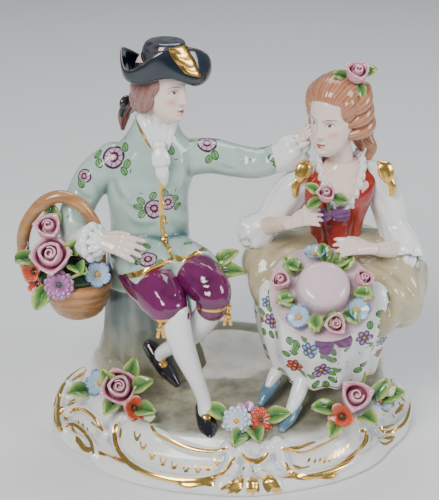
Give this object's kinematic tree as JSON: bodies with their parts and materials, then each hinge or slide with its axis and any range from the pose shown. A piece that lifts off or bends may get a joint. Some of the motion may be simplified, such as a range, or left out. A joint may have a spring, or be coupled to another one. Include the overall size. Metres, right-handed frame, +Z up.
{
  "type": "courting couple figurine",
  "caption": "Porcelain group of a gentleman with a flower basket and a lady with a flowered hat on her lap, seated on one scroll-edged base.",
  "frame": {"origin": "middle of the base's flat underside, on the surface that the group stands on", "axes": "+Z up, the front of the group towards -Y, the gentleman towards -X and the lady towards +X"},
  "size_m": [0.2012, 0.1443, 0.1977],
  "materials": {
    "courting_couple_figurine": "glossy glazed porcelain, painted and gilded"
  },
  "bodies": {
    "root": {"courting_couple_figurine": "courting_couple_figurine"}
  },
  "joints": []
}
